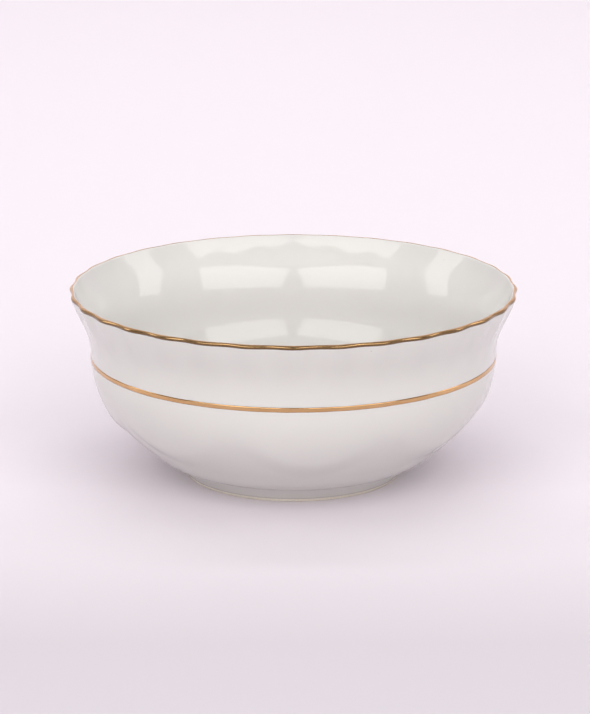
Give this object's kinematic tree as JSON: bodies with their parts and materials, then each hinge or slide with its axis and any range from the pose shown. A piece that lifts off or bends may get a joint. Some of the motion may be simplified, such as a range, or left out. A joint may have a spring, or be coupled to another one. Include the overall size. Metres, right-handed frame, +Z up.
{
  "type": "porcelain serving bowl",
  "caption": "Round glazed porcelain serving bowl with a scalloped gilt lip, a gilt waist line, a petalled lower wall and a foot ring, for salad, fruit or side dishes.",
  "frame": {"origin": "centre of the foot ring's contact face, on the table", "axes": "+Z up along the bowl's axis; -Y is the side that the picture shows; a lip scallop's crest lies on every half axis"},
  "size_m": [0.2294, 0.2294, 0.0981],
  "materials": {
    "biscuit": "fired white porcelain body, matt, hidden under the glaze",
    "bare_foot": "unglazed porcelain, fine and matt, ground smooth at the toe",
    "glaze": "clear glossy glaze over white porcelain",
    "gold": "thin fired gold, bright, brushed on by hand"
  },
  "bodies": {
    "root": {"porcelain_body": "biscuit", "foot_ring": "bare_foot", "glaze_coat": "glaze", "recess_glaze": "glaze", "rim_gilding": "gold", "waist_gilding": "gold"}
  },
  "joints": []
}
